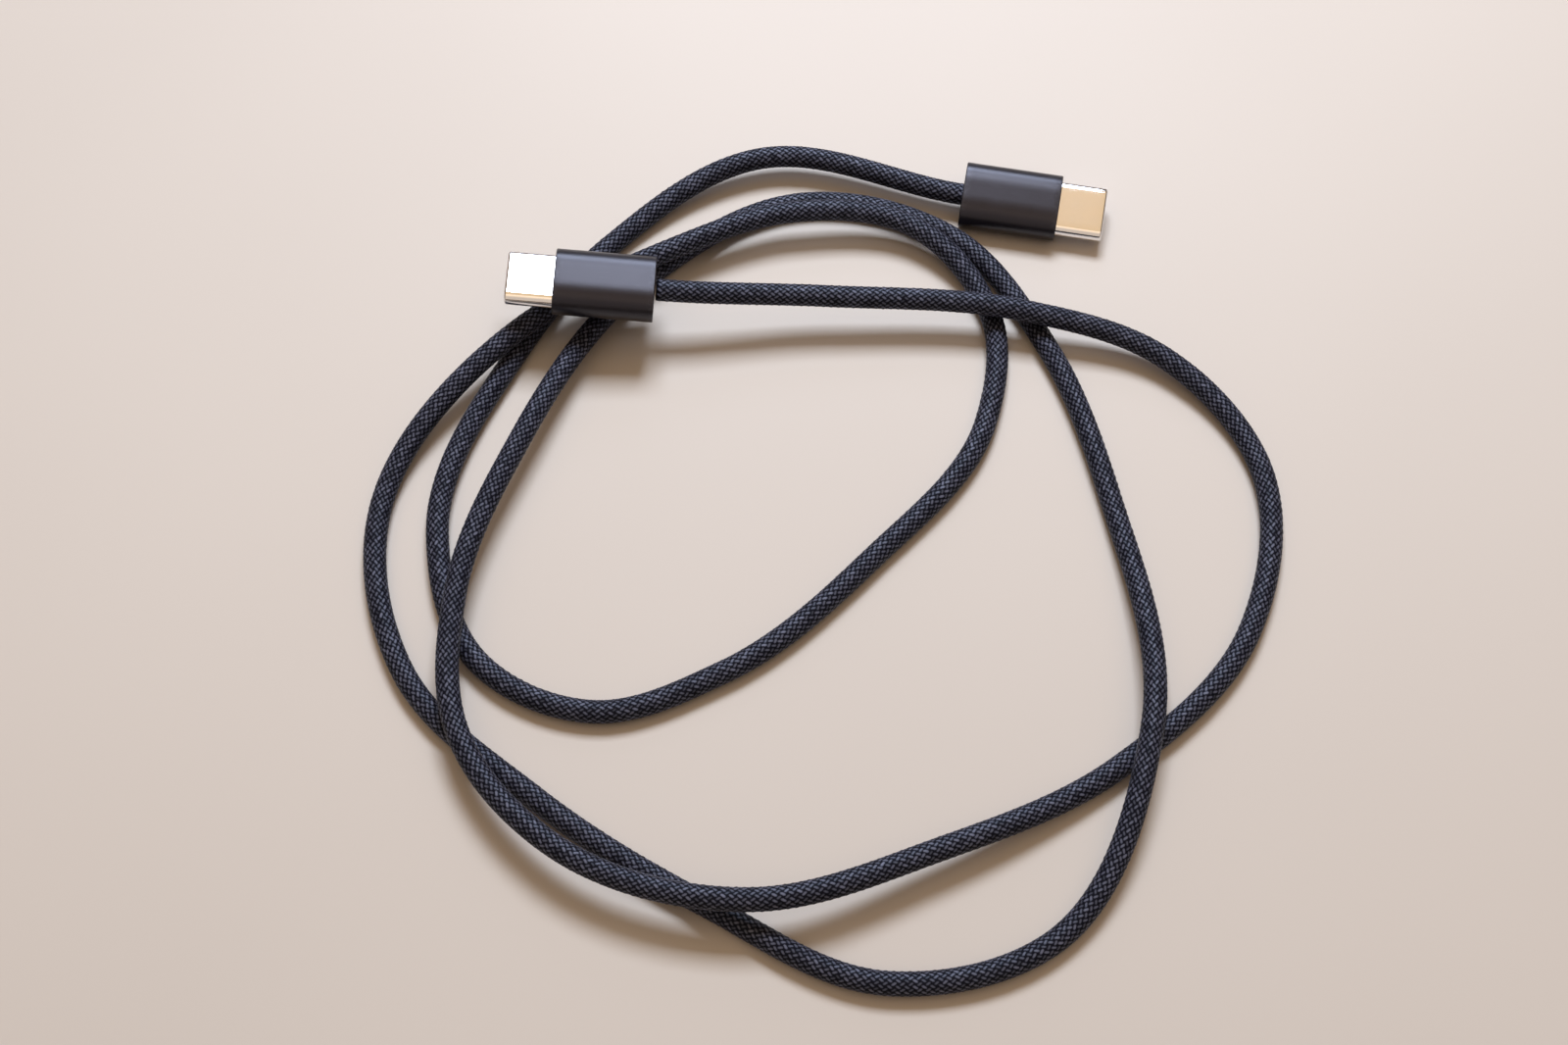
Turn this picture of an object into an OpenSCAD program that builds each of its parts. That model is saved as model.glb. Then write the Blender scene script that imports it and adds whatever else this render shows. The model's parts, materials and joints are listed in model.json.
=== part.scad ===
// Woven charging cable, one metre long, with a USB-C plug on each end.
// It lies in loose loops on a table: +Z is up, the table is z = 0, and the origin
// is on the table at the bottom centre of the box round the two plugs.
// Each plug is drawn once, along its own +X axis, from the cord's entry at x = 0
// to the tip of the metal shell, and is placed at both ends of the cord's route.

/* [Cord] */
// Outside diameter of the woven sleeve
cord_d = 3.2; // [2.8:0.1:3.2]
// Diameter of the jacket inside the sleeve
jacket_d = 2.6; // [2.2:0.1:2.6]

/* [Boot] */
// Length of the plastic boot
boot_len = 14; // [13.5:0.5:16]
// Width of the boot
boot_w = 9.7; // [9.7:0.1:11]
// Thickness of the boot; its two sides are full round
boot_t = 5.5; // [5.5:0.1:6.5]
// Wall thickness of the boot round its cavity
boot_wall = 0.55; // [0.45:0.05:0.6]

/* [Shell] */
// Width of the metal shell
shell_w = 8.25; // [8.2:0.05:8.3]
// Thickness of the metal shell
shell_t = 2.4; // [2.36:0.02:2.44]
// Sheet thickness of the metal shell
shell_wall = 0.22; // [0.2:0.01:0.25]
// Length of the shell that stands out of the boot
shell_out = 6.65; // [6.2:0.05:6.7]

/* [Contacts] */
// Spacing of the contact positions
pitch = 0.5; // [0.45:0.05:0.5]
// Width of a contact
contact_w = 0.25; // [0.2:0.01:0.28]
// Thickness of a contact
contact_t = 0.14; // [0.1:0.01:0.15]

/* [Placement] */
// Heading of plug A, in degrees anticlockwise from +X
plug_a_heading = 177.5; // [175:0.5:180]
// Upward tilt of plug A, whose tip is held up by the cord under it
plug_a_pitch = 5; // [4:0.5:6]
// Heading of plug B
plug_b_heading = -10; // [-12:0.5:-8]
// Roll of plug B about its own axis
plug_b_roll = 9.5; // [9:0.5:9.5]

/* [Hidden] */
$fn = 48;
slack = 0.02;

// Stations along a plug, from the cord's entry
rear_wall = 1.4;
front_wall = 1.4;
mould_end = 4.4;
ring_start = 4.7;
ring_end = 6.2;
jacket_end = 6.4;
board_start = 7.6;
wire_end = 8.9;
joint_end = 9.7;
board_end = 11.9;
shell_start = 11.4;
holder_start = 12;
holder_end = 13.6;
housing_start = 13.7;
slot_start = 14.4;
tip = boot_len + shell_out;
housing_end = tip - 0.3;
contact_start = 10.9;
contact_end = tip - 1.75;
spring_start = tip - 3.4;
spring_end = tip - 0.7;

cavity_w = boot_w - 2 * boot_wall;
cavity_t = boot_t - 2 * boot_wall;
can_wall = 0.2;
can_end = shell_start - 0.05;
board_w = 7.2;
board_t = 0.7;
contact_z = 0.42;
slot_w = 7;
slot_t = 1.16;
latch_y = 3.35;
latch_t = 0.2;

// Contact positions that a charging lead fills, counted from the middle of the row
top_row = [-5.5, -2.5, -1.5, -0.5, 0.5, 2.5, 5.5];
bottom_row = [-5.5, -2.5, -1.5, 2.5, 5.5];
// Wires on the top and the bottom of the board: distance from the middle, and height
power_y = 0.5;
power_z = 0.72;
power_d = 0.7;
signal_y = 0.6;
signal_z = 0.6;
signal_d = 0.44;

// Points along the middle of the cord, from plug A to plug B
route = [
  [-22, -9.7, 8.6], [2, -9.3, 6.2], [30, -11, 5], [49, -17, 2.8],
  [61, -32, 1.6], [58, -58, 1.6], [39.5, -77, 1.6], [16, -88.7, 4.2],
  [-9, -95.8, 6], [-34, -88, 5.6], [-46, -73.5, 5], [-47.5, -54, 5],
  [-40, -31, 5], [-22, -2, 1.6], [-1, 9.2, 1.6], [20, 3.6, 1.6],
  [33, -14.5, 1.6], [40.5, -38, 1.6], [43.4, -73, 5], [29, -100.5, 1.6],
  [9, -105.2, 1.6], [-14, -95.2, 1.6], [-36, -81.3, 1.6], [-54.5, -63.5, 1.6],
  [-59, -40, 1.7], [-42, -14.7, 4.9], [-21, -1.2, 4.9], [-2, 5.6, 4.9],
  [15, 3.6, 3.7], [25, -8.5, 1.7], [24, -27, 1.6], [8, -47.5, 1.6],
  [-12, -64, 1.6], [-29.5, -69.5, 1.6], [-44, -63, 1.6], [-51, -44, 1.8],
  [-41.5, -15.5, 1.6], [-29, 2, 1.6], [-8, 15.6, 3.4], [22, 9.7, 3.1]
];
last = len(route) - 1;
sides = 8;
steps = 2;

// ---- The cord's route: arcs through the points, with no rise past a point's height

function flat(v) = [v[0], v[1], 0];
function heading(a, pitch) = [cos(pitch) * cos(a), cos(pitch) * sin(a), sin(pitch)];
function level_unit(v) = v / norm(flat(v));
function span(i) = norm(flat(route[i + 1] - route[i]));
function run(i) = (route[i + 1] - route[i]) / span(i);
function slope(a, b) = a * b <= 0 ? 0 : 2 * a * b / (a + b);
function turn(i) = level_unit(flat(run(i - 1) * span(i) + run(i) * span(i - 1)));
function tangent(i) =
  i == 0 ? -level_unit(heading(plug_a_heading, plug_a_pitch)) :
  i == last ? level_unit(heading(plug_b_heading, 0)) :
  turn(i) + [0, 0, slope(run(i - 1)[2], run(i)[2])];
function between(i, t) =
  (1 + 2 * t) * (1 - t) * (1 - t) * route[i]
  + t * (1 - t) * (1 - t) * span(i) * tangent(i)
  + t * t * (3 - 2 * t) * route[i + 1]
  + t * t * (t - 1) * span(i) * tangent(i + 1);
function along(i, t) = t == 0 ? tangent(i) : between(i, t + 0.01) - between(i, t - 0.01);

stations = [for (i = [0:last - 1], k = [0:steps - 1]) [i, k / steps], [last, 0]];
function centre(s) = s[0] == last ? route[last] : between(s[0], s[1]);
function forward(s) =
  let (v = along(s[0], s[1])) v / norm(v);
function across(s) =
  let (v = cross(forward(s), [0, 0, 1])) v / norm(v);
function corner(s, a) =
  centre(s) + cord_d / 2 * (cos(a) * across(s) + sin(a) * cross(across(s), forward(s)));

// ---- Shared shapes

// A flat bar with full-round sides, along X
module stadium(from, to, w, t) {
  translate([from, 0, 0])
    rotate([90, 0, 90])
      linear_extrude(to - from)
        union() {
          square([w - t, t], center = true);
          for (side = [-1, 1])
            translate([side * (w - t) / 2, 0])
              circle(d = t);
        }
}

// A block along X, centred on y and z
module block(from, to, y, z, w, t) {
  translate([from, y - w / 2, z - t / 2])
    cube([to - from, w, t]);
}

// A rod along X
module rod(from, to, y, z, d) {
  translate([from, y, z])
    rotate([0, 90, 0])
      cylinder(h = to - from, d = d);
}

// ---- The plug's parts, outermost first

module boot() {
  color([0.13, 0.135, 0.15])
    difference() {
      stadium(0, boot_len, boot_w, boot_t);
      stadium(rear_wall, boot_len - front_wall, cavity_w, cavity_t);
      stadium(boot_len - front_wall - 1, boot_len + 1, shell_w + 2 * slack, shell_t + 2 * slack);
      rod(-1, rear_wall + 1, 0, 0, cord_d + 0.1);
    }
}

module shell() {
  color([0.8, 0.81, 0.83])
    difference() {
      stadium(shell_start, tip, shell_w, shell_t);
      stadium(shell_start - 1, tip + 1, shell_w - 2 * shell_wall, shell_t - 2 * shell_wall);
    }
}

// Black insulator round the slot that takes the socket's tongue
module front_housing() {
  color([0.05, 0.05, 0.055])
    difference() {
      stadium(
        housing_start, housing_end,
        shell_w - 2 * shell_wall - 2 * slack, shell_t - 2 * shell_wall - 2 * slack
      );
      block(slot_start, tip, 0, 0, slot_w, slot_t);
      contact_ways(housing_start - 1, slot_start + 1);
      latch_ways(housing_start - 1, slot_start + 1);
      for (side = [-1, 1]) {
        block(spring_start - slack, spring_end + slack, 0, side * 0.92, 5.2, 0.3);
        for (y = [-1.8, 0, 1.8])
          block(spring_end - 0.7, spring_end - 0.1, y, side * 0.7, 0.7, 0.6);
      }
    }
}

// Rear insulator that grips the contacts and the latch
module contact_holder() {
  color([0.09, 0.09, 0.1])
    difference() {
      stadium(holder_start, holder_end, 7.6, 1.7);
      contact_ways(holder_start - 1, holder_end + 1);
      latch_ways(holder_start - 1, holder_end + 1);
      block(holder_start - 1, 13.3 + slack, 0, 0, 2 * latch_y + latch_t + 2 * slack, 0.24);
    }
}

// Clear ways for the contacts through the insulators
module contact_ways(from, to) {
  for (i = top_row)
    block(from, to, i * pitch, contact_z + contact_t / 2, contact_w + 0.04, contact_t + 0.04);
  for (i = bottom_row)
    block(from, to, i * pitch, -contact_z - contact_t / 2, contact_w + 0.04, contact_t + 0.04);
}

// Clear ways for the latch's two arms
module latch_ways(from, to) {
  for (side = [-1, 1])
    block(from, to, side * latch_y, 0, latch_t + 2 * slack, 0.64);
}

// One row of gold contacts, each with a raised point near its end
module contact_row(places, side) {
  color([0.83, 0.66, 0.3])
    for (i = places) {
      block(
        contact_start, contact_end,
        i * pitch, side * (contact_z + contact_t / 2), contact_w, contact_t
      );
      translate([contact_end - 0.6, i * pitch + contact_w / 2, side * contact_z])
        rotate([90, 0, 0])
          cylinder(h = contact_w, d = 0.16);
    }
}

// Steel spring with an arm down each side, whose hooks hold the plug in its socket
module latch_spring() {
  color([0.72, 0.73, 0.75]) {
    block(12.9, 13.3, 0, 0, 2 * latch_y, 0.2);
    for (side = [-1, 1]) {
      block(12.9, contact_end, side * latch_y, 0, latch_t, 0.6);
      translate([contact_end - 0.5, side * (latch_y - latch_t / 2), 0])
        cylinder(h = 0.6, d = 0.4, center = true);
    }
  }
}

// Grounding spring between the insulator and the shell, with three fingers
module ground_spring(side) {
  color([0.75, 0.76, 0.78]) {
    block(spring_start, spring_end, 0, side * 0.87, 5.1, 0.1);
    for (y = [-1.8, 0, 1.8])
      block(spring_end - 0.6, spring_end - 0.2, y, side * 0.67, 0.6, 0.34);
  }
}

module board() {
  color([0.1, 0.35, 0.22])
    block(board_start, board_end, 0, 0, board_w, board_t);
}

module resistor() {
  color([0.1, 0.1, 0.1])
    block(9.9, 10.4, 2.2, board_t / 2 + 0.17, 1, 0.34);
}

// Solder at the ends of the wires and under the tails of the contacts
module solder_joints() {
  color([0.7, 0.71, 0.72]) {
    for (side = [-1, 1])
      block(wire_end, joint_end, side * power_y, board_t / 2 + 0.3, 0.8, 0.6);
    for (i = [-1:1])
      block(wire_end, joint_end, i * signal_y, -board_t / 2 - 0.22, 0.46, 0.44);
    for (i = top_row)
      block(contact_start, contact_start + 0.7, i * pitch, (board_t / 2 + contact_z) / 2,
        contact_w, contact_z - board_t / 2);
    for (i = bottom_row)
      block(contact_start, contact_start + 0.7, i * pitch, -(board_t / 2 + contact_z) / 2,
        contact_w, contact_z - board_t / 2);
  }
}

// Half of the sheet-metal can round the board
module can_half(side) {
  color([0.7, 0.71, 0.73])
    intersection() {
      difference() {
        stadium(mould_end + 0.05, can_end, cavity_w - 2 * slack, cavity_t - 2 * slack);
        stadium(
          mould_end + 0.25, can_end + 1,
          cavity_w - 2 * slack - 2 * can_wall, cavity_t - 2 * slack - 2 * can_wall
        );
        rod(mould_end - 1, mould_end + 1, 0, 0, jacket_d + 0.1);
      }
      block(0, boot_len, 0, side * (boot_t / 2 + slack), boot_w, boot_t);
    }
}

// Ring crimped on the jacket inside the can
module crimp_ring() {
  color([0.6, 0.55, 0.42])
    difference() {
      rod(ring_start, ring_end, 0, 0, 3.3);
      rod(ring_start - 1, ring_end + 1, 0, 0, jacket_d + 0.04);
    }
}

// Soft inner mould that grips the sleeve and seals the boot's back
module inner_mould() {
  color([0.2, 0.2, 0.21])
    difference() {
      stadium(rear_wall + slack, mould_end, cavity_w - 2 * slack, cavity_t - 2 * slack);
      rod(0, mould_end + 1, 0, 0, cord_d + 0.04);
    }
}

// End of the woven sleeve inside the boot
module sleeve_end() {
  color([0.1, 0.105, 0.12])
    difference() {
      rod(0, mould_end - 0.1, 0, 0, cord_d);
      rod(-1, mould_end + 1, 0, 0, jacket_d + 0.04);
    }
}

module jacket_end() {
  color([0.16, 0.16, 0.17])
    rod(0, jacket_end, 0, 0, jacket_d);
}

module power_wire() {
  color([0.7, 0.08, 0.06])
    rod(jacket_end, wire_end, -power_y, power_z, power_d);
}

module ground_wire() {
  color([0.08, 0.08, 0.08])
    rod(jacket_end, wire_end, power_y, power_z, power_d);
}

module data_wires() {
  for (side = [-1, 1])
    color(side < 0 ? [0.1, 0.5, 0.2] : [0.9, 0.9, 0.88])
      rod(jacket_end, wire_end, side * signal_y, -signal_z, signal_d);
}

module control_wire() {
  color([0.1, 0.25, 0.7])
    rod(jacket_end, wire_end, 0, -signal_z, signal_d);
}

// ---- The cord and the two ends

// The woven cord's whole free length, plug to plug
module cord() {
  n = len(stations);
  points = [for (s = stations, k = [0:sides - 1]) corner(s, k * 360 / sides)];
  walls = [
    for (r = [0:n - 2], k = [0:sides - 1])
      let (
        a = r * sides + k,
        b = r * sides + (k + 1) % sides,
        c = a + sides,
        d = b + sides
      ) each [[a, c, b], [b, c, d]]
  ];
  ends = [
    [for (k = [0:sides - 1]) k],
    [for (k = [sides - 1:-1:0]) (n - 1) * sides + k]
  ];
  color([0.1, 0.105, 0.12])
    polyhedron(points, concat(walls, ends), convexity = 10);
}

// Stands a plug part at one end of the cord
module at_a() {
  translate(route[0])
    rotate([0, -plug_a_pitch, plug_a_heading])
      children();
}

module at_b() {
  translate(route[last])
    rotate([plug_b_roll, 0, plug_b_heading])
      children();
}

cord();

at_a() boot();  // boot_a
at_a() shell();  // shell_a
at_a() front_housing();  // front_housing_a
at_a() contact_holder();  // contact_holder_a
at_a() contact_row(top_row, 1);  // contacts_top_a
at_a() contact_row(bottom_row, -1);  // contacts_bottom_a
at_a() latch_spring();  // latch_spring_a
at_a() ground_spring(1);  // ground_spring_top_a
at_a() ground_spring(-1);  // ground_spring_bottom_a
at_a() board();  // board_a
at_a() resistor();  // resistor_a
at_a() solder_joints();  // solder_joints_a
at_a() can_half(1);  // can_top_a
at_a() can_half(-1);  // can_bottom_a
at_a() crimp_ring();  // crimp_ring_a
at_a() inner_mould();  // inner_mould_a
at_a() sleeve_end();  // sleeve_end_a
at_a() jacket_end();  // jacket_end_a
at_a() power_wire();  // power_wire_a
at_a() ground_wire();  // ground_wire_a
at_a() data_wires();  // data_wires_a
at_a() control_wire();  // control_wire_a

at_b() boot();  // boot_b
at_b() shell();  // shell_b
at_b() front_housing();  // front_housing_b
at_b() contact_holder();  // contact_holder_b
at_b() contact_row(top_row, 1);  // contacts_top_b
at_b() contact_row(bottom_row, -1);  // contacts_bottom_b
at_b() latch_spring();  // latch_spring_b
at_b() ground_spring(1);  // ground_spring_top_b
at_b() ground_spring(-1);  // ground_spring_bottom_b
at_b() board();  // board_b
at_b() resistor();  // resistor_b
at_b() solder_joints();  // solder_joints_b
at_b() can_half(1);  // can_top_b
at_b() can_half(-1);  // can_bottom_b
at_b() crimp_ring();  // crimp_ring_b
at_b() inner_mould();  // inner_mould_b
at_b() sleeve_end();  // sleeve_end_b
at_b() jacket_end();  // jacket_end_b
at_b() power_wire();  // power_wire_b
at_b() ground_wire();  // ground_wire_b
at_b() data_wires();  // data_wires_b
at_b() control_wire();  // control_wire_b
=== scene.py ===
"""Looks of the woven charging cable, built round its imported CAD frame. All sizes are in metres."""

import json
import math

import bmesh
import bpy
import numpy as np
from mathutils import Matrix, Vector


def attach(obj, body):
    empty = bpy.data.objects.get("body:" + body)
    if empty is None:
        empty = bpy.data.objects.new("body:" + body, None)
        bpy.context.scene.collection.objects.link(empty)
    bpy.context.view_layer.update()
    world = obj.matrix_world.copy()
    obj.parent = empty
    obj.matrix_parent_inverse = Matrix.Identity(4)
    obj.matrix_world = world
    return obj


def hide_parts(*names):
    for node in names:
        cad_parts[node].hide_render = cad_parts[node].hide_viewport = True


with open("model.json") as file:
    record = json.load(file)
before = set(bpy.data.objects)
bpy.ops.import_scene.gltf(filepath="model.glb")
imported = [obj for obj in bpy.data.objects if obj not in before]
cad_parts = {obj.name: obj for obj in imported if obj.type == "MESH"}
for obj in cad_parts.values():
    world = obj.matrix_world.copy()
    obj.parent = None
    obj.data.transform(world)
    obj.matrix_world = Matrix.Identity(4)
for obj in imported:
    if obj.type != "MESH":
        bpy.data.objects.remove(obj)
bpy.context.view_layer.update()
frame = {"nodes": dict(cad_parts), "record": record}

MM = 0.001
RECORD = frame["record"]
NODES = frame["nodes"]
PLUGS = ("a", "b")


# ------------------------------------------------------------------ driving sizes
# The cord and its braid
CORD_D = 3.2 * MM
CORD_R = CORD_D / 2
WALES = 24  # columns of stitches round the cord
STITCHES = 908  # stitches in one column, from boot to boot
SLEEVE_TUCK = 0.9 * MM  # how far the sleeve runs on into each boot

# The boot, along the plug's own +X from the cord's entry
BOOT_LEN = 14 * MM
BOOT_W = 9.7 * MM
BOOT_T = 5.5 * MM
BOOT_WALL = 0.55 * MM
BOOT_END_WALL = 1.4 * MM
BOOT_FILLET = 0.16 * MM
BOOT_EASE = 0.45  # how much of each flat bends gently into the round sides
BORE_R = 1.65 * MM

# The metal shell
SHELL_W = 8.25 * MM
SHELL_T = 2.4 * MM
SHELL_WALL = 0.22 * MM
SHELL_START = 11.4 * MM
SHELL_GAP = 0.02 * MM
SHELL_LIP = 0.34 * MM
PLUG_TIP = BOOT_LEN + 6.65 * MM

# Turn of each plug about its own axis, in degrees
PLUG_ROLL = {"a": 0.0, "b": 9.5}

# Points along the middle of the cord, from plug A to plug B, as in the CAD source
ROUTE = [
    (-0.0220, -0.0097, 0.0086), (0.0020, -0.0093, 0.0062), (0.0300, -0.0110, 0.0050),
    (0.0490, -0.0170, 0.0028), (0.0610, -0.0320, 0.0016), (0.0580, -0.0580, 0.0016),
    (0.0395, -0.0770, 0.0016), (0.0160, -0.0887, 0.0042), (-0.0090, -0.0958, 0.0060),
    (-0.0340, -0.0880, 0.0056), (-0.0460, -0.0735, 0.0050), (-0.0475, -0.0540, 0.0050),
    (-0.0400, -0.0310, 0.0050), (-0.0220, -0.0020, 0.0016), (-0.0010, 0.0092, 0.0016),
    (0.0200, 0.0036, 0.0016), (0.0330, -0.0145, 0.0016), (0.0405, -0.0380, 0.0016),
    (0.0434, -0.0730, 0.0050), (0.0290, -0.1005, 0.0016), (0.0090, -0.1052, 0.0016),
    (-0.0140, -0.0952, 0.0016), (-0.0360, -0.0813, 0.0016), (-0.0545, -0.0635, 0.0016),
    (-0.0590, -0.0400, 0.0017), (-0.0420, -0.0147, 0.0049), (-0.0210, -0.0012, 0.0049),
    (-0.0020, 0.0056, 0.0049), (0.0150, 0.0036, 0.0037), (0.0250, -0.0085, 0.0017),
    (0.0240, -0.0270, 0.0016), (0.0080, -0.0475, 0.0016), (-0.0120, -0.0640, 0.0016),
    (-0.0295, -0.0695, 0.0016), (-0.0440, -0.0630, 0.0016), (-0.0510, -0.0440, 0.0018),
    (-0.0415, -0.0155, 0.0016), (-0.0290, 0.0020, 0.0016), (-0.0080, 0.0156, 0.0034),
    (0.0220, 0.0097, 0.0031),
]


# ------------------------------------------------------------------ camera
def make_camera():
    """A 50 mm lens that looks along +Y and down on the loops, at the height of a seated person's eye."""
    target = Vector((-4 * MM, -41.5 * MM, 0))
    distance = 298 * MM
    down = math.radians(65)
    data = bpy.data.cameras.new("camera")
    data.lens = 50
    data.sensor_width = 36
    data.clip_start = 0.01
    data.clip_end = 20
    camera = bpy.data.objects.new("camera", data)
    camera.location = target + distance * Vector((0, -math.cos(down), math.sin(down)))
    camera.rotation_euler = (math.pi / 2 - down, 0, 0)
    bpy.context.scene.collection.objects.link(camera)
    bpy.context.scene.camera = camera


# ------------------------------------------------------------------ mesh helpers
def add_piece(name, vertices, faces, smooth_below=None):
    """A mesh object in the row frame. Edges sharper than smooth_below degrees stay sharp."""
    mesh = bpy.data.meshes.new(name)
    mesh.from_pydata([tuple(v) for v in vertices], [], [tuple(f) for f in faces])
    mesh.polygons.foreach_set("use_smooth", [True] * len(mesh.polygons))
    if smooth_below is not None:
        mesh.set_sharp_from_angle(angle=math.radians(smooth_below))
    mesh.update()
    piece = bpy.data.objects.new(name, mesh)
    bpy.context.scene.collection.objects.link(piece)
    return piece


def point_attribute(piece, name, values):
    attribute = piece.data.attributes.new(name, "FLOAT", "POINT")
    attribute.data.foreach_set("value", np.asarray(values, np.float32))


def stand_for(piece, slot, *nodes):
    """The piece rides on the cable's one body and is shown in place of those CAD nodes."""
    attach(piece, "root")
    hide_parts(*nodes)


# ------------------------------------------------------------------ the plugs' places
def plug_matrix(end):
    """From a plug's own frame, +X towards the tip and 0 at the cord's entry, to the row frame."""
    mount = next(m for m in RECORD["mounts"] if m["name"] == "plug_" + end)
    axis = Vector(mount["axis"]).normalized()
    side = Vector((0, 0, 1)).cross(axis).normalized()
    up = axis.cross(side)
    entry = Vector(mount["pos_m"]) - PLUG_TIP * axis
    turned = Matrix((axis, side, up)).transposed().to_4x4()
    roll = Matrix.Rotation(math.radians(PLUG_ROLL[end]), 4, "X")
    return Matrix.Translation(entry) @ turned @ roll


PLACE = {end: plug_matrix(end) for end in PLUGS}


# ------------------------------------------------------------------ the cord
def centreline(parts=60):
    """The smooth curve through the route, one cubic a span as in the CAD source.

    Returns its points, how far along the cord each one is, and its directions."""
    points = np.array(ROUTE)
    step = np.diff(points, axis=0)
    flat = np.linalg.norm(step[:, :2], axis=1)
    slope = step / flat[:, None]
    turn = np.zeros_like(points)
    for i in range(1, len(points) - 1):
        mean = slope[i - 1] * flat[i] + slope[i] * flat[i - 1]
        turn[i] = mean / np.linalg.norm(mean[:2])
        before, after = slope[i - 1][2], slope[i][2]
        turn[i][2] = 0 if before * after <= 0 else 2 * before * after / (before + after)
    leaving = -np.array(PLACE["a"].col[0][:3])
    arriving = np.array(PLACE["b"].col[0][:3])
    turn[0] = leaving / np.linalg.norm(leaving[:2])
    turn[-1] = arriving / np.linalg.norm(arriving[:2])
    t = (np.arange(parts) / parts)[:, None]
    spans = [
        (1 + 2 * t) * (1 - t) ** 2 * points[i]
        + t * (1 - t) ** 2 * flat[i] * turn[i]
        + t ** 2 * (3 - 2 * t) * points[i + 1]
        + t ** 2 * (t - 1) * flat[i] * turn[i + 1]
        for i in range(len(step))
    ]
    line = np.vstack(spans + [points[-1:]])
    tail = 2 * SLEEVE_TUCK
    line = np.vstack([line[0] - tail * leaving, line, line[-1] + tail * arriving])
    along = np.r_[0, np.cumsum(np.linalg.norm(np.diff(line, axis=0), axis=1))] - tail
    direction = np.gradient(line, along, axis=0)
    return line, along, direction


LINE, ALONG, DIRECTION = centreline()
CORD_LENGTH = float(ALONG[-1] - 2 * SLEEVE_TUCK)


def on_cord(s, wale, radius):
    """Points in the row frame, at s along the cord from plug A, that wale and that radius.

    Wales count to the right from the cord's top."""
    middle = np.stack([np.interp(s, ALONG, LINE[:, i]) for i in range(3)], -1)
    forward = np.stack([np.interp(s, ALONG, DIRECTION[:, i]) for i in range(3)], -1)
    forward /= np.linalg.norm(forward, axis=-1, keepdims=True)
    right = np.cross(forward, (0, 0, 1))
    right /= np.linalg.norm(right, axis=-1, keepdims=True)
    up = np.cross(right, forward)
    angle = (2 * math.pi * wale / WALES)[..., None]
    return middle + radius[..., None] * (np.sin(angle) * right + np.cos(angle) * up)


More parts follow.
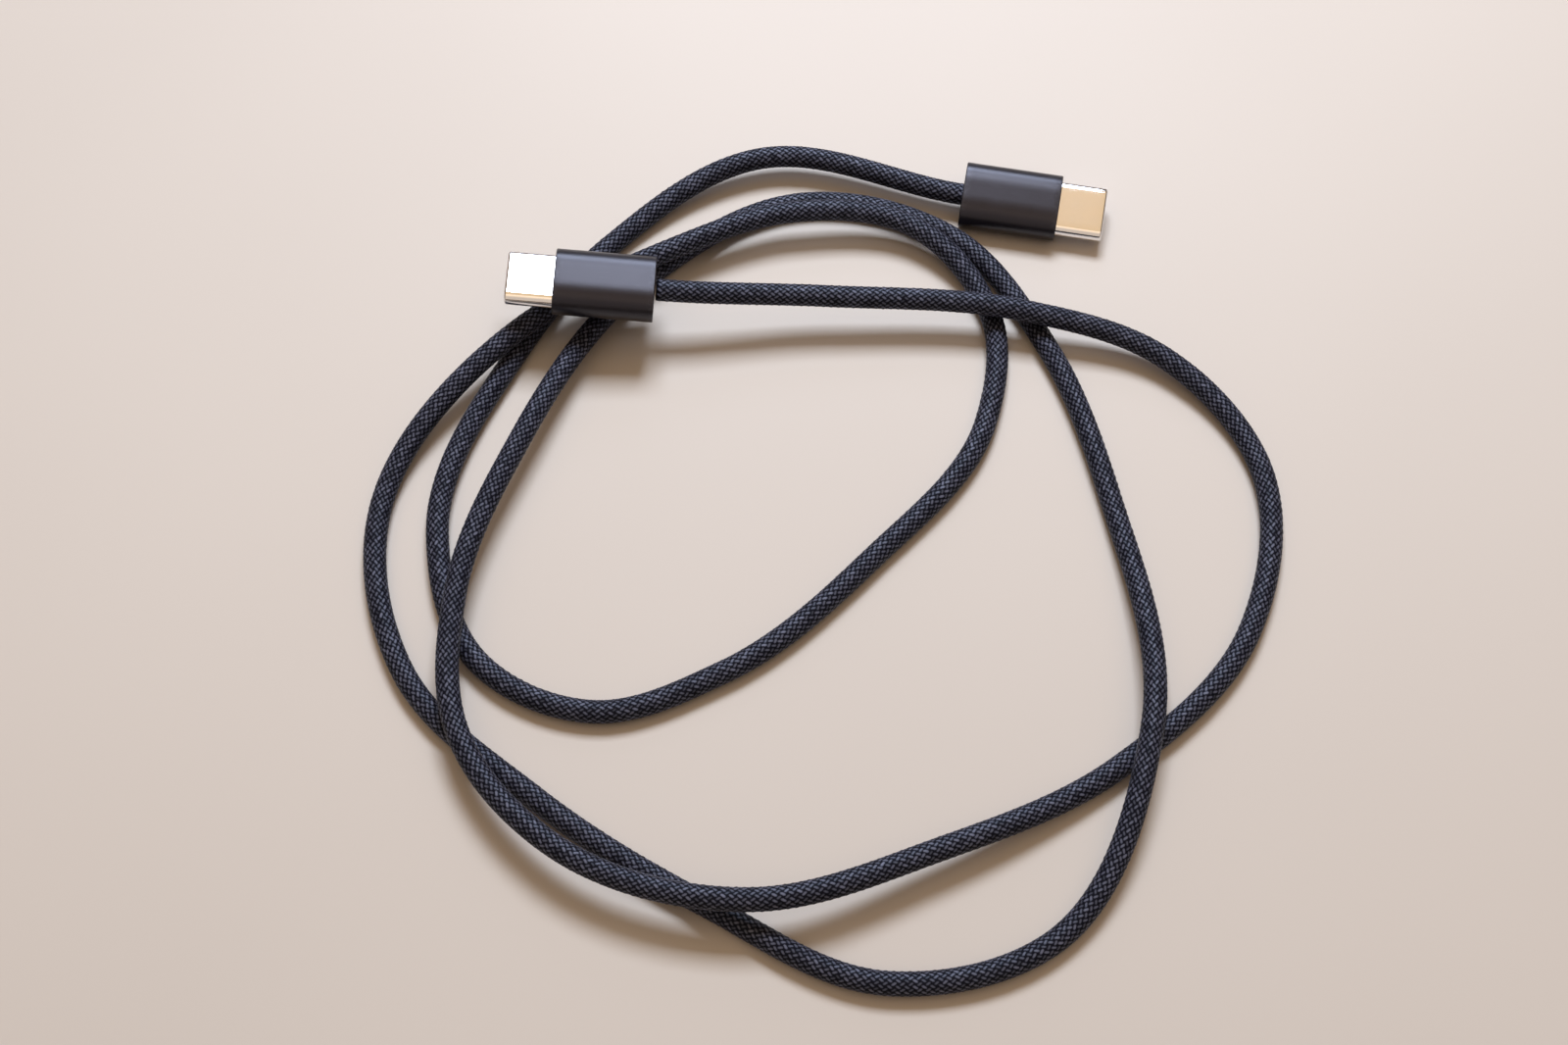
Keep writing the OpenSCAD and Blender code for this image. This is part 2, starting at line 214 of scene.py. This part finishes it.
def braid():
    """The sleeve as one closed mesh in which each stitch is a raised float, one over, one under.

    A wale is one column of stitches. A stitch in an even wale is a right-hand yarn on top, in an odd
    wale a left-hand one. A yarn climbs half a stitch from one wale to the next. Each float draws in at
    its waist, where its neighbours' ends come up to it, and four floats meet round a deep gap."""
    stitch = CORD_LENGTH / STITCHES
    waist = 0.34  # how far the neighbours' ends reach into a float's sides, of its half width
    gap_depth = 0.17 * MM
    end_depth = 0.075 * MM
    crown_depth = 0.02 * MM  # room left under the cord's full radius for uneven stitches
    right_tone = 0.60  # tone of the right-hand yarns, from 0, darkest, to 1; set above the left-hand yarns' tone as a painted highlight
    left_tone = 0.42
    yarn_spread = 0.10  # how far the shade varies from yarn to yarn
    stitch_spread = 0.17  # and from stitch to stitch
    rows = STITCHES + 3  # the stitches past the cord's ends are hidden in the boots
    wale, row = np.meshgrid(np.arange(WALES), np.arange(rows), indexing="ij")
    even = wale % 2 == 0
    random = np.random.default_rng(7)

    gap = np.stack([wale.astype(float), stitch * (row + (wale % 2) / 2 - 0.85)], -1)
    right_half = np.array((0.5, stitch / 4))
    left_half = np.array((-0.5, stitch / 4))
    reach = np.where(even, waist, -waist)[..., None]
    right_edge = gap + right_half + reach * left_half
    left_edge = gap - left_half + reach * right_half
    sway = random.normal(0, 0.06, wale.shape + (1,))
    crown = gap - (0, stitch / 2) + sway * np.where(even[..., None], left_half, right_half)
    lift = np.clip(random.normal(0, 0.008 * MM, wale.shape), -crown_depth, crown_depth)
    flat = np.zeros(wale.shape)
    layers = [
        (gap, flat + CORD_R - gap_depth),
        (right_edge, flat + CORD_R - end_depth),
        (left_edge, flat + CORD_R - end_depth),
        (crown, lift + CORD_R - crown_depth),
    ]
    count = wale.size
    vertices = np.vstack([on_cord(p[..., 1], p[..., 0], r).reshape(-1, 3) for p, r in layers])

    def number(layer, at_wale, at_row):
        return layer * count + (at_wale % WALES) * rows + at_row

    c, q = (grid.ravel() for grid in np.meshgrid(np.arange(WALES), np.arange(2, rows), indexing="ij"))
    odd = c % 2
    side_row = q - 1 + odd
    gaps = [number(0, c, q), number(0, c - 1, side_row), number(0, c, q - 1), number(0, c + 1, side_row)]
    edges = [number(1, c - 1, side_row), number(2, c - 1, side_row), number(1, c, q - 1), number(2, c, q)]
    top = number(3, c, q)
    signs = ((1, 1), (-1, 1), (-1, -1), (1, -1))  # top, left, bottom and right gap, along both yarns
    faces, uvs = [], []
    for i in range(4):
        n = (i + 1) % 4
        here, there = np.array(signs[i]), np.array(signs[n])
        for start, end, start_uv, end_uv in (
            (gaps[i], edges[i], here, (here + there) / 2),
            (edges[i], gaps[n], (here + there) / 2, there),
        ):
            faces.append(np.stack((start, end, top), 1))
            corner_uv = np.array((start_uv, end_uv, (0, 0)), float)
            uvs.append(np.where(odd[:, None, None], corner_uv, corner_uv[:, ::-1]))
    right_yarn = q - c // 2
    yarn = np.where(odd, WALES // 2 + (right_yarn + c) % (WALES // 2), right_yarn % (WALES // 2))
    # The right-hand yarns are lighter than the left-hand ones as a painted highlight, for glints that follow
    # a yarn's direction to the light; the spreads are random tone.
    tone = np.where(odd, left_tone, right_tone) + yarn_spread * random.uniform(-1, 1, WALES)[yarn]
    tone = tone + random.normal(0, stitch_spread, len(c))

    faces = np.vstack(faces)
    used, compact = np.unique(faces, return_inverse=True)
    sleeve = add_piece("woven_sleeve", vertices[used], compact.reshape(faces.shape))
    uv_map = sleeve.data.uv_layers.new(name="yarn")
    uv_map.data.foreach_set("uv", np.concatenate(uvs).astype(np.float32).ravel())
    shade = sleeve.data.attributes.new("shade", "FLOAT", "FACE")
    shade.data.foreach_set("value", np.tile(tone, 8).astype(np.float32))
    close_ends(sleeve)
    return sleeve


def close_ends(piece):
    """Fills the open rims that lie inside the boots, so that the sleeve is one closed solid."""
    work = bmesh.new()
    work.from_mesh(piece.data)
    rims = [e for e in work.edges if e.is_boundary]
    filled = bmesh.ops.holes_fill(work, edges=rims, sides=0)["faces"]
    bmesh.ops.triangulate(work, faces=filled)
    work.to_mesh(piece.data)
    work.free()


def make_cord():
    sleeve = braid()
    stand_for(sleeve, "woven_sleeve", "cord")
    return sleeve


# ------------------------------------------------------------------ plug outlines
ROUND_STEPS = 32  # along each half-round side
FLAT_STEPS = 8  # along each flat


def stadium(width, thickness, ease=0.0):
    """Outline of a slot shape in the plug's Y and Z, as a walk round its two sides and two flats.

    Each flat gives up the share ease of its length to a shoulder that bends gently into the side."""
    radius = thickness / 2
    reach = (width / 2 - radius) * (1 - ease)
    power = 2 / (2 + 0.8 * ease)
    points = []
    for side in (1, -1):
        for i in range(ROUND_STEPS):
            angle = side * math.pi / 2 - math.pi * i / ROUND_STEPS
            out, up = math.cos(angle), math.sin(angle)
            y = side * reach + math.copysign((width / 2 - reach) * abs(out) ** power, out)
            points.append((y, math.copysign(radius * abs(up) ** power, up)))
        for i in range(FLAT_STEPS):
            points.append((side * (reach - 2 * reach * i / FLAT_STEPS), -side * radius))
    return np.array(points)


def circle(radius):
    """A circle whose points lie in the same directions as the boot's outline."""
    outline = stadium(BOOT_W, BOOT_T)
    return radius * outline / np.linalg.norm(outline, axis=1)[:, None]


def fillet(station, width, thickness, radius, towards, steps=6, ease=0.0):
    """Rings that round an edge: towards -1 rounds up from an end face, +1 rounds down to the next one."""
    rings = []
    for i in range(steps + 1):
        angle = math.pi / 2 * i / steps
        inset = radius * (1 - math.sin(angle))
        back = radius * (1 - math.cos(angle))
        rings.append((station - towards * back, stadium(width - 2 * inset, thickness - 2 * inset, ease), 1.0))
    return rings if towards < 0 else rings[::-1]


def loft(name, rings, end):
    """A mesh through rings, placed at that end of the cable.

    A ring is its station along the plug, its outline and its edge weight."""
    n = len(rings[0][1])
    local = np.vstack([np.column_stack([np.full(n, x), outline]) for x, outline, _ in rings])
    place = np.array(PLACE[end])
    vertices = local @ place[:3, :3].T + place[:3, 3]
    faces = []
    for i in range(len(rings)):
        j = (i + 1) % len(rings)
        for k in range(n):
            m = (k + 1) % n
            faces.append((i * n + k, i * n + m, j * n + m, j * n + k))
    piece = add_piece(name, vertices, faces, smooth_below=32)
    point_attribute(piece, "edge", np.repeat([weight for _, _, weight in rings], n))
    return piece


def make_boot(end):
    """The moulded boot: flat ends, full-round sides, a hole for the cord and a slot for the shell."""
    bore_lip = 0.12 * MM
    slot_lip = 0.05 * MM
    slot = stadium(SHELL_W + 2 * SHELL_GAP, SHELL_T + 2 * SHELL_GAP)
    slot_rim = stadium(SHELL_W + 2 * (SHELL_GAP + slot_lip), SHELL_T + 2 * (SHELL_GAP + slot_lip))
    inside = stadium(BOOT_W - 2 * BOOT_WALL, BOOT_T - 2 * BOOT_WALL)
    end_edge = stadium(BOOT_W - 2 * BOOT_FILLET, BOOT_T - 2 * BOOT_FILLET, BOOT_EASE)
    rings = [
        (BOOT_END_WALL, circle(BORE_R), 0),
        (2 * bore_lip, circle(BORE_R), 0),
        (bore_lip / 3, circle(BORE_R + bore_lip / 3), 0.5),
        (0, circle(BORE_R + bore_lip), 0.5),
        (0, circle(BORE_R + bore_lip) * 0.5 + end_edge * 0.5, 0),
        (0, end_edge * 0.96 + circle(BORE_R) * 0.04, 0.3),
    ]
    rings += fillet(0, BOOT_W, BOOT_T, BOOT_FILLET, -1, ease=BOOT_EASE)
    for i in range(1, 12):
        rings.append((BOOT_LEN * i / 12, stadium(BOOT_W, BOOT_T, BOOT_EASE), 0))
    rings += fillet(BOOT_LEN, BOOT_W, BOOT_T, BOOT_FILLET, 1, ease=BOOT_EASE)
    rings += [
        (BOOT_LEN, end_edge * 0.96 + slot_rim * 0.04, 0.3),
        (BOOT_LEN, (end_edge + slot_rim) / 2, 0),
        (BOOT_LEN, slot_rim, 0.3),
        (BOOT_LEN - slot_lip, slot, 0),
        (BOOT_LEN - BOOT_END_WALL, slot, 0),
        (BOOT_LEN - BOOT_END_WALL, inside, 0),
        (BOOT_END_WALL, inside, 0),
    ]
    boot = loft("moulded_boot_" + end, rings, end)
    stand_for(boot, "boot_plastic", "boot_" + end)
    return boot


def make_shell(end):
    """The drawn metal shell, with its front edge rolled in over the insulator."""
    inner = stadium(SHELL_W - 2 * SHELL_WALL, SHELL_T - 2 * SHELL_WALL)
    roll = 0.42 * MM
    lip_front, lip_back, lip_end = 0.03 * MM, 0.24 * MM, 0.28 * MM  # behind the tip
    lip = stadium(SHELL_W - 2 * roll, SHELL_T - 2 * roll)
    rings = [(SHELL_START, inner, 0), (SHELL_START, stadium(SHELL_W, SHELL_T), 0)]
    for i in range(1, 10):
        station = SHELL_START + (PLUG_TIP - SHELL_LIP - SHELL_START) * i / 10
        rings.append((station, stadium(SHELL_W, SHELL_T), 0))
    rings += fillet(PLUG_TIP, SHELL_W, SHELL_T, SHELL_LIP, 1, steps=9)
    rings += [
        (PLUG_TIP - lip_front, lip, 0.5),
        (PLUG_TIP - lip_back, lip, 0),
        (PLUG_TIP - lip_end, inner, 0),
    ]
    shell = loft("plug_shell_" + end, rings, end)
    stand_for(shell, "plug_steel", "shell_" + end)
    return shell


# ------------------------------------------------------------------ materials
class Shader:
    """A Principled material under construction: node() adds a node, link() joins two sockets."""

    def __init__(self, name, **settings):
        self.material = bpy.data.materials.new(name)
        self.material.use_nodes = True
        self.tree = self.material.node_tree
        self.bsdf = self.tree.nodes["Principled BSDF"]
        for socket, value in settings.items():
            self.bsdf.inputs[socket.replace("_", " ")].default_value = value

    def node(self, kind, inputs=None, **properties):
        made = self.tree.nodes.new("ShaderNode" + kind)
        for key, value in properties.items():
            setattr(made, key, value)
        for key, value in (inputs or {}).items():
            if isinstance(value, bpy.types.NodeSocket):
                self.tree.links.new(value, made.inputs[key])
            else:
                made.inputs[key].default_value = value
        return made

    def link(self, source, socket):
        self.tree.links.new(source, self.bsdf.inputs[socket])

    def place(self):
        return self.node("TexCoord").outputs["Object"]

    def noise(self, size, detail=3.0, roughness=0.55, vector=None):
        """Noise whose features are about that many metres across."""
        inputs = {"Scale": 1 / size, "Detail": detail, "Roughness": roughness}
        inputs["Vector"] = vector or self.place()
        return self.node("TexNoise", inputs).outputs["Fac"]

    def value(self, name):
        return self.node("Attribute", attribute_name=name).outputs["Fac"]

    def spread(self, source, low, high, from_low=0.3, from_high=0.7):
        """The source's range from_low..from_high, spread to low..high."""
        inputs = {"Value": source, "From Min": from_low, "From Max": from_high, "To Min": low, "To Max": high}
        return self.node("MapRange", inputs).outputs["Result"]

    def maths(self, operation, first, second=0.0):
        return self.node("Math", {0: first, 1: second}, operation=operation).outputs[0]

    def blend(self, share, first, second):
        """Colour mix: all first at 0, all second at 1."""
        mix = self.node("Mix", data_type="RGBA")
        for key, value in ((0, share), (6, first), (7, second)):
            if isinstance(value, bpy.types.NodeSocket):
                self.tree.links.new(value, mix.inputs[key])
            else:
                mix.inputs[key].default_value = value
        return mix.outputs[2]

    def stretch(self, source, factors):
        """A vector whose X, Y and Z are multiplied by the three factors."""
        return self.node("VectorMath", {0: source, 1: factors}, operation="MULTIPLY").outputs["Vector"]

    def bump(self, height, depth):
        """Relief of that many metres between height 0 and 1."""
        return self.node("Bump", {"Height": height, "Distance": depth}).outputs["Normal"]


def rgb(red, green, blue):
    return (red, green, blue, 1.0)


def woven_material():
    """Charcoal polyester: a lighter rounded dash of fine filaments on each float, near-black gaps between.
    The dash is partly yarn colour and partly painted highlight; the near-black gaps are painted shade.
    """
    m = Shader(
        "woven_sleeve", Sheen_Weight=0.03, Sheen_Roughness=0.35,
        Sheen_Tint=rgb(0.7, 0.78, 1.0), Specular_Tint=rgb(0.7, 0.82, 1.0),
    )
    across_along = m.node("UVMap", uv_map="yarn").outputs["UV"]
    across = m.node("SeparateXYZ", {0: across_along}).outputs["X"]
    fibre = m.noise(0.06 * MM, 2.0)
    dash = m.stretch(across_along, (1 / 0.88, 1.0, 0.0))
    reach = m.node("VectorMath", {0: dash}, operation="LENGTH").outputs["Value"]
    reach = m.maths("ADD", reach, m.spread(fibre, -0.12, 0.12))
    reach = m.maths("SUBTRACT", reach, m.spread(m.value("shade"), -0.12, 0.12, 0, 1))
    # Dash mask: 1 on the lighter middle of each float, which is partly painted highlight, 0 in the gaps,
    # which get painted shade.
    shown = m.spread(reach, 1, 0, 0.40, 0.98)
    strands = m.maths("MULTIPLY", m.maths("ADD", across, m.spread(m.noise(0.5 * MM), -0.08, 0.08)), 19.0)
    filaments = m.spread(m.maths("SINE", strands), 0, 1, -1, 1)
    shade = m.spread(m.value("shade"), 0, 1, 0, 1)
    yarn = m.blend(shade, rgb(0.024, 0.026, 0.044), rgb(0.165, 0.175, 0.265))
    yarn = m.blend(m.maths("MULTIPLY", filaments, 0.35), yarn, rgb(0.012, 0.012, 0.016))
    # The near-black colour in the gaps is painted shade.
    m.link(m.blend(shown, rgb(0.006, 0.006, 0.011), yarn), "Base Color")
    m.link(m.spread(fibre, 0.40, 0.58), "Roughness")
    m.link(m.spread(shown, 0.05, 0.5, 0, 1), "Specular IOR Level")
    m.link(m.bump(m.maths("ADD", filaments, fibre), 0.006 * MM), "Normal")
    return m.material


def boot_material():
    """Charcoal moulded plastic with a fine grain, faint handling marks, scuffs, and lighter edges that are
    partly rubbed wear and partly painted highlight.
    """
    m = Shader("boot_plastic", Specular_IOR_Level=0.42, Specular_Tint=rgb(0.88, 0.87, 1.0))
    grain = m.noise(0.09 * MM, 2.0)
    marks = m.noise(2.2 * MM, 4.0, 0.6)
    marked = m.spread(marks, 0, 1)
    # Lighter, smoother rounded edges: partly rubbed wear, partly a painted highlight along them.
    wear_and_edge_highlight = m.maths("MULTIPLY", m.value("edge"), m.spread(m.noise(0.5 * MM, 4.0), 0, 1, 0.45, 0.65))
    colour = m.blend(marked, rgb(0.008, 0.0065, 0.010), rgb(0.010, 0.0085, 0.013))
    lengthwise = m.stretch(m.place(), (0.09, 1.0, 1.0))
    scuffs = m.spread(m.noise(0.22 * MM, 2.0, vector=lengthwise), 0, 1, 0.60, 0.78)
    scuffs = m.maths("MULTIPLY", scuffs, marked)
    wear_and_edge_highlight = m.maths("MAXIMUM", wear_and_edge_highlight, m.maths("MULTIPLY", scuffs, 0.45))
    # Scuffs and edges painted lighter; on the edges this is partly painted highlight.
    colour = m.blend(m.maths("MULTIPLY", wear_and_edge_highlight, 0.5), colour, rgb(0.045, 0.046, 0.055))
    m.link(colour, "Base Color")
    rough = m.spread(marks, 0.30, 0.33)
    m.link(m.maths("SUBTRACT", rough, m.maths("MULTIPLY", wear_and_edge_highlight, 0.05)), "Roughness")
    m.link(m.bump(grain, 0.003 * MM), "Normal")
    return m.material


def shell_material():
    """Bright plated steel with a fine satin grain and faint smears."""
    m = Shader("plug_steel", Metallic=1.0)
    smear = m.noise(1.6 * MM, 4.0, 0.6)
    grain = m.noise(0.06 * MM, 2.0)
    m.link(m.blend(m.spread(smear, 0, 1), rgb(0.86, 0.85, 0.85), rgb(0.83, 0.82, 0.82)), "Base Color")
    m.link(m.spread(smear, 0.10, 0.12), "Roughness")
    m.link(m.bump(grain, 0.0004 * MM), "Normal")
    return m.material


def insulator_material():
    """Black glass-filled plastic with slight flow marks."""
    m = Shader("black_insulator")
    flow = m.noise(0.25 * MM, 3.0)
    m.link(m.blend(m.spread(flow, 0, 1), rgb(0.012, 0.012, 0.013), rgb(0.026, 0.026, 0.028)), "Base Color")
    m.link(m.spread(flow, 0.4, 0.6), "Roughness")
    m.link(m.bump(m.noise(0.05 * MM), 0.003 * MM), "Normal")
    return m.material


def metal_material(name, light, dark, rough_low, rough_high, relief_mm):
    """A metal whose tone and gloss vary in small clouds, with a fine relief."""
    m = Shader(name, Metallic=1.0)
    cloud = m.noise(0.3 * MM, 4.0, 0.6)
    m.link(m.blend(m.spread(cloud, 0, 1), light, dark), "Base Color")
    m.link(m.spread(cloud, rough_low, rough_high), "Roughness")
    m.link(m.bump(m.noise(0.06 * MM), relief_mm * MM), "Normal")
    return m.material


def soft_material(name, light, dark, roughness=0.5):
    """Moulded rubber or wire insulation with slight mottling and a matt skin."""
    m = Shader(name)
    cloud = m.noise(0.4 * MM, 3.0)
    m.link(m.blend(m.spread(cloud, 0, 1), light, dark), "Base Color")
    m.link(m.spread(cloud, roughness - 0.08, roughness + 0.08), "Roughness")
    m.link(m.bump(m.noise(0.08 * MM), 0.004 * MM), "Normal")
    return m.material


def board_material():
    """Green solder mask over glass cloth."""
    m = Shader("circuit_board", Roughness=0.35)
    cloth = m.node("TexWave", {"Vector": m.place(), "Scale": 900.0, "Distortion": 0.6}).outputs["Fac"]
    tone = m.maths("MULTIPLY", cloth, m.spread(m.noise(0.5 * MM), 0.3, 1))
    m.link(m.blend(tone, rgb(0.008, 0.07, 0.03), rgb(0.02, 0.13, 0.055)), "Base Color")
    m.link(m.bump(cloth, 0.004 * MM), "Normal")
    return m.material


def paint_cad_nodes():
    """Every CAD node that stays gets its own finish, by the slot that the record gives it."""
    gold = metal_material("gold_contacts", rgb(0.95, 0.68, 0.30), rgb(0.82, 0.55, 0.22), 0.16, 0.3, 0.001)
    spring = metal_material("spring_steel", rgb(0.66, 0.66, 0.68), rgb(0.5, 0.5, 0.53), 0.22, 0.36, 0.001)
    shield = metal_material("shield_steel", rgb(0.68, 0.68, 0.68), rgb(0.52, 0.52, 0.53), 0.3, 0.48, 0.002)
    solder = metal_material("solder", rgb(0.72, 0.72, 0.73), rgb(0.45, 0.45, 0.46), 0.25, 0.5, 0.012)
    brass = metal_material("crimp_brass", rgb(0.72, 0.55, 0.28), rgb(0.5, 0.36, 0.17), 0.28, 0.45, 0.004)
    finish = {
        "woven_sleeve": soft_material("sleeve_end", rgb(0.03, 0.03, 0.036), rgb(0.012, 0.012, 0.014), 0.7),
        "black_insulator": insulator_material(),
        "gold_contacts": gold,
        "spring_steel": spring,
        "shield_steel": shield,
        "circuit_board": board_material(),
        "solder": solder,
        "crimp_brass": brass,
        "inner_mould": soft_material("inner_mould", rgb(0.055, 0.055, 0.06), rgb(0.035, 0.035, 0.04), 0.6),
        "inner_jacket": soft_material("inner_jacket", rgb(0.03, 0.03, 0.033), rgb(0.018, 0.018, 0.02)),
        "wire_red": soft_material("wire_red", rgb(0.55, 0.03, 0.025), rgb(0.4, 0.015, 0.015)),
        "wire_black": soft_material("wire_black", rgb(0.025, 0.025, 0.025), rgb(0.012, 0.012, 0.012)),
        "wire_green": soft_material("wire_green", rgb(0.03, 0.34, 0.08), rgb(0.02, 0.22, 0.05)),
        "wire_blue": soft_material("wire_blue", rgb(0.03, 0.1, 0.5), rgb(0.02, 0.06, 0.36)),
    }
    for part in RECORD["subparts"]:
        node = NODES[part["node"]]
        if node.hide_render:
            continue
        node.data.materials.clear()
        node.data.materials.append(finish[part["material_slot"]])


# ------------------------------------------------------------------ floor and lights
def make_floor():
    """A wide pale table top, level with the lowest point of the cable."""
    reach = 8.0
    steps = 24
    vertices = [
        ((i / steps - 0.5) * 2 * reach, (j / steps - 0.5) * 2 * reach, 0.0)
        for i in range(steps + 1)
        for j in range(steps + 1)
    ]
    row = steps + 1
    faces = [
        (i * row + j, (i + 1) * row + j, (i + 1) * row + j + 1, i * row + j + 1)
        for i in range(steps)
        for j in range(steps)
    ]
    floor = add_piece("floor", vertices, faces)
    m = Shader("floor", Roughness=0.55, Specular_IOR_Level=0.3)
    drift = m.noise(0.25, 3.0)
    m.link(m.blend(m.spread(drift, 0, 1), rgb(0.70, 0.655, 0.635), rgb(0.655, 0.61, 0.59)), "Base Color")
    floor.data.materials.append(m.material)


def area_light(name, azimuth, elevation, distance, size, power, colour, gloss=False):
    """A soft rectangular light that faces the loops. Azimuth 0 is towards +Y, 90 towards +X.

    With gloss it is only seen mirrored in surfaces; without, it only lights them."""
    target = Vector((-4 * MM, -41.5 * MM, 0))
    a, e = math.radians(azimuth), math.radians(elevation)
    away = Vector((math.sin(a) * math.cos(e), math.cos(a) * math.cos(e), math.sin(e)))
    data = bpy.data.lights.new(name, "AREA")
    data.shape = "RECTANGLE"
    data.size, data.size_y = size
    data.energy = power
    data.color = colour
    light = bpy.data.objects.new(name, data)
    light.location = target + distance * away
    light.rotation_mode = "QUATERNION"
    light.rotation_quaternion = away.to_track_quat("Z", "Y")
    light.visible_camera = False
    light.visible_diffuse = not gloss
    light.visible_glossy = gloss
    bpy.context.scene.collection.objects.link(light)


def make_room():
    """A dim warm room whose ceiling, straight above, is the brightest part of it."""
    room = bpy.data.worlds.new("room")
    room.use_nodes = True
    nodes, links = room.node_tree.nodes, room.node_tree.links
    direction = nodes.new("ShaderNodeTexCoord").outputs["Generated"]
    height = nodes.new("ShaderNodeVectorMath")
    height.operation = "DOT_PRODUCT"
    height.inputs[1].default_value = (0.0, 0.12, 0.99)
    ceiling = nodes.new("ShaderNodeMapRange")
    ceiling.interpolation_type = "SMOOTHSTEP"
    ceiling.inputs["From Min"].default_value = 0.6
    ceiling.inputs["From Max"].default_value = 1.0
    colour = nodes.new("ShaderNodeMix")
    colour.data_type = "RGBA"
    colour.inputs[6].default_value = rgb(0.16, 0.122, 0.095)
    colour.inputs[7].default_value = rgb(0.88, 0.63, 0.385)
    links.new(direction, height.inputs[0])
    links.new(height.outputs["Value"], ceiling.inputs["Value"])
    links.new(ceiling.outputs["Result"], colour.inputs[0])
    links.new(colour.outputs[2], nodes["Background"].inputs["Color"])
    bpy.context.scene.world = room


def make_lights():
    """A window beyond the loops lights the table. Its panes and the near wall show in glossy surfaces."""
    area_light("window", 4, 57, 0.55, (0.213, 0.162), 2.85, (0.86, 0.93, 1.0))
    area_light("upper_panes", 4, 55.5, 0.50, (0.194, 0.134), 1.05, (0.78, 0.86, 1.0), gloss=True)
    area_light("lower_panes", 4, 34, 0.50, (0.227, 0.125), 1.5, (0.74, 0.83, 1.0), gloss=True)
    area_light("near_wall", 180, 48, 1.2, (2.6, 1.6), 7.0, (1.0, 0.85, 0.72), gloss=True)
    make_room()
    bpy.context.scene.view_settings.view_transform = "Standard"


# ------------------------------------------------------------------ the scene
make_camera()
sleeve = make_cord()
sleeve.data.materials.append(woven_material())
boot_plastic = boot_material()
plug_steel = shell_material()
for end in PLUGS:
    make_boot(end).data.materials.append(boot_plastic)
    make_shell(end).data.materials.append(plug_steel)
paint_cad_nodes()
make_floor()
make_lights()
